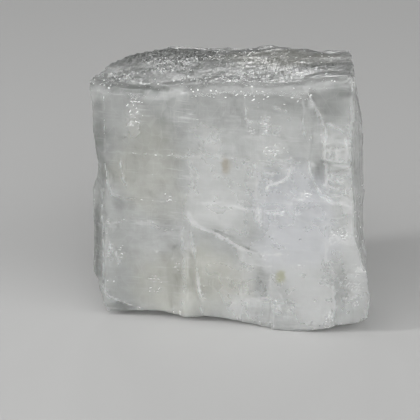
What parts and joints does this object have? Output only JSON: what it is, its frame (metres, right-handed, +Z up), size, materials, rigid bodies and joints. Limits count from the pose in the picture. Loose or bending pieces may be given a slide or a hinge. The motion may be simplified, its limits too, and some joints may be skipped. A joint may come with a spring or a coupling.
{
  "type": "beryllonite cleavage block",
  "caption": "Blocky, milky, see-through beryllonite crystal with stepped cleavage faces, fluted sides and a hackly top, standing on a flat base.",
  "frame": {"origin": "centre of the bounding box's base, on the surface that the block stands on", "axes": "+X along the block's width, +Z up, -Y out of the front cleavage face"},
  "size_m": [0.0284, 0.0136, 0.0267],
  "materials": {
    "beryllonite": "milky, glassy on cleavage faces and frosted where broken"
  },
  "bodies": {
    "root": {"beryllonite_crystal": "beryllonite"}
  },
  "joints": []
}
